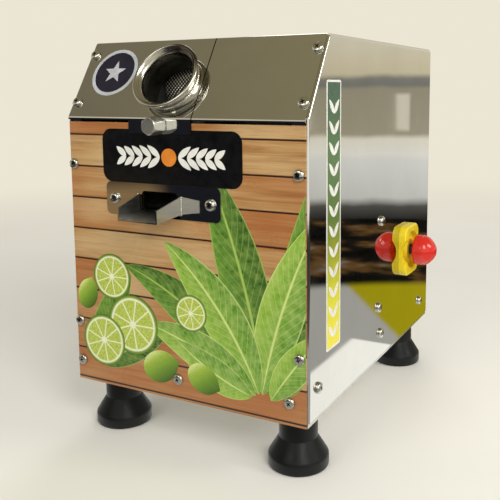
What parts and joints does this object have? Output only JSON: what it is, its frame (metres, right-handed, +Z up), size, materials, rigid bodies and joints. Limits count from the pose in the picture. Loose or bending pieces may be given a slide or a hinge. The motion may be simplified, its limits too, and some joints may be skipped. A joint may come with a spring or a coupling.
{
  "type": "sugarcane juicer",
  "caption": "Countertop sugarcane juicer: steel cabinet with sloping feed mouth, geared roller mill, front juice spout, rear bagasse chute, stop switch and rubber feet.",
  "frame": {"origin": "on the counter, under the middle of the machine's overall box", "axes": "+Z up, -Y towards the user at the front with the feed mouth and juice spout, +X to the user's right with the stop switch"},
  "size_m": [0.346, 0.498, 0.453],
  "materials": {
    "polished_steel": "mirror-polished stainless sheet",
    "satin_steel": "satin stainless",
    "printed_front": "printed film of wood planks and leaves on stainless sheet",
    "mill_iron": "bead-blasted",
    "roller_steel": "knurled",
    "bush_bronze": "turned",
    "gear_iron": "greased",
    "gearbox_aluminium": "cast",
    "motor_paint": "semi-gloss paint",
    "black_plastic": "matte",
    "yellow_plastic": "gloss",
    "red_plastic": "gloss",
    "foot_rubber": "moulded rubber",
    "screw_steel": "bright zinc"
  },
  "bodies": {
    "cabinet": {"base_tray": "satin_steel", "front_panel": "printed_front", "side_panel_left": "polished_steel", "side_panel_right": "polished_steel", "rear_panel": "polished_steel", "feed_cover": "polished_steel", "drive_cover": "polished_steel", "feed_mouth": "satin_steel", "juice_spout": "polished_steel", "juice_tray": "satin_steel", "bagasse_chute": "satin_steel", "bagasse_deflector": "satin_steel", "mill_plate_left": "mill_iron", "mill_plate_right": "mill_iron", "mill_tie_bars": "satin_steel", "clamp_bar": "satin_steel", "clamp_bolt": "screw_steel", "trash_plate": "satin_steel", "top_bushes": "bush_bronze", "feed_bushes": "bush_bronze", "discharge_bushes": "bush_bronze", "gearbox_flange": "gearbox_aluminium", "gearbox": "gearbox_aluminium", "motor": "motor_paint", "fan_cover": "motor_paint", "terminal_box": "black_plastic", "stop_shroud": "yellow_plastic", "stop_collar": "yellow_plastic", "stop_nut": "black_plastic", "stop_contacts": "black_plastic", "cable_gland": "black_plastic", "gland_nut": "black_plastic", "foot_front_left": "foot_rubber", "foot_front_right": "foot_rubber", "foot_rear_left": "foot_rubber", "foot_rear_right": "foot_rubber", "foot_bolts": "screw_steel", "gearbox_bolts": "screw_steel", "mill_bolts": "screw_steel", "front_screws": "screw_steel", "rear_screws": "screw_steel", "right_side_screws": "screw_steel", "left_side_screws": "screw_steel", "slope_screws": "screw_steel", "cover_lip_screws": "screw_steel", "spout_screws": "screw_steel", "chute_screws": "screw_steel"},
    "top_roller": {"top_roller": "roller_steel", "top_gear": "gear_iron"},
    "feed_roller": {"feed_roller": "roller_steel", "feed_gear": "gear_iron"},
    "discharge_roller": {"discharge_roller": "roller_steel", "discharge_gear": "gear_iron"},
    "stop_stem": {"stop_stem": "black_plastic"},
    "stop_head": {"stop_head": "red_plastic"}
  },
  "joints": [
    {"name": "top_spin", "type": "hinge", "parent": "cabinet", "child": "top_roller", "pos_m": [-0.0405, -0.11384, 0.4003], "axis": [1, 0, 0], "continuous": true},
    {"name": "feed_spin", "type": "hinge", "parent": "cabinet", "child": "feed_roller", "pos_m": [-0.0405, -0.15524, 0.34635], "axis": [1, 0, 0], "continuous": true},
    {"name": "discharge_spin", "type": "hinge", "parent": "cabinet", "child": "discharge_roller", "pos_m": [-0.0405, -0.07245, 0.34635], "axis": [1, 0, 0], "continuous": true},
    {"name": "stop_push", "type": "slide", "parent": "cabinet", "child": "stop_stem", "axis": [-1, 0, 0], "range_m": [0, 0.005], "stiffness_N_per_m": 2000},
    {"name": "stop_twist", "type": "hinge", "parent": "stop_stem", "child": "stop_head", "pos_m": [0.131, 0.1, 0.1835], "axis": [-1, 0, 0], "range_deg": [0, 45], "stiffness_Nm_per_rad": 0.05}
  ],
  "couplings": [
    {"joint": "feed_spin", "follows": "top_spin", "ratio": -1},
    {"joint": "discharge_spin", "follows": "top_spin", "ratio": -1}
  ]
}
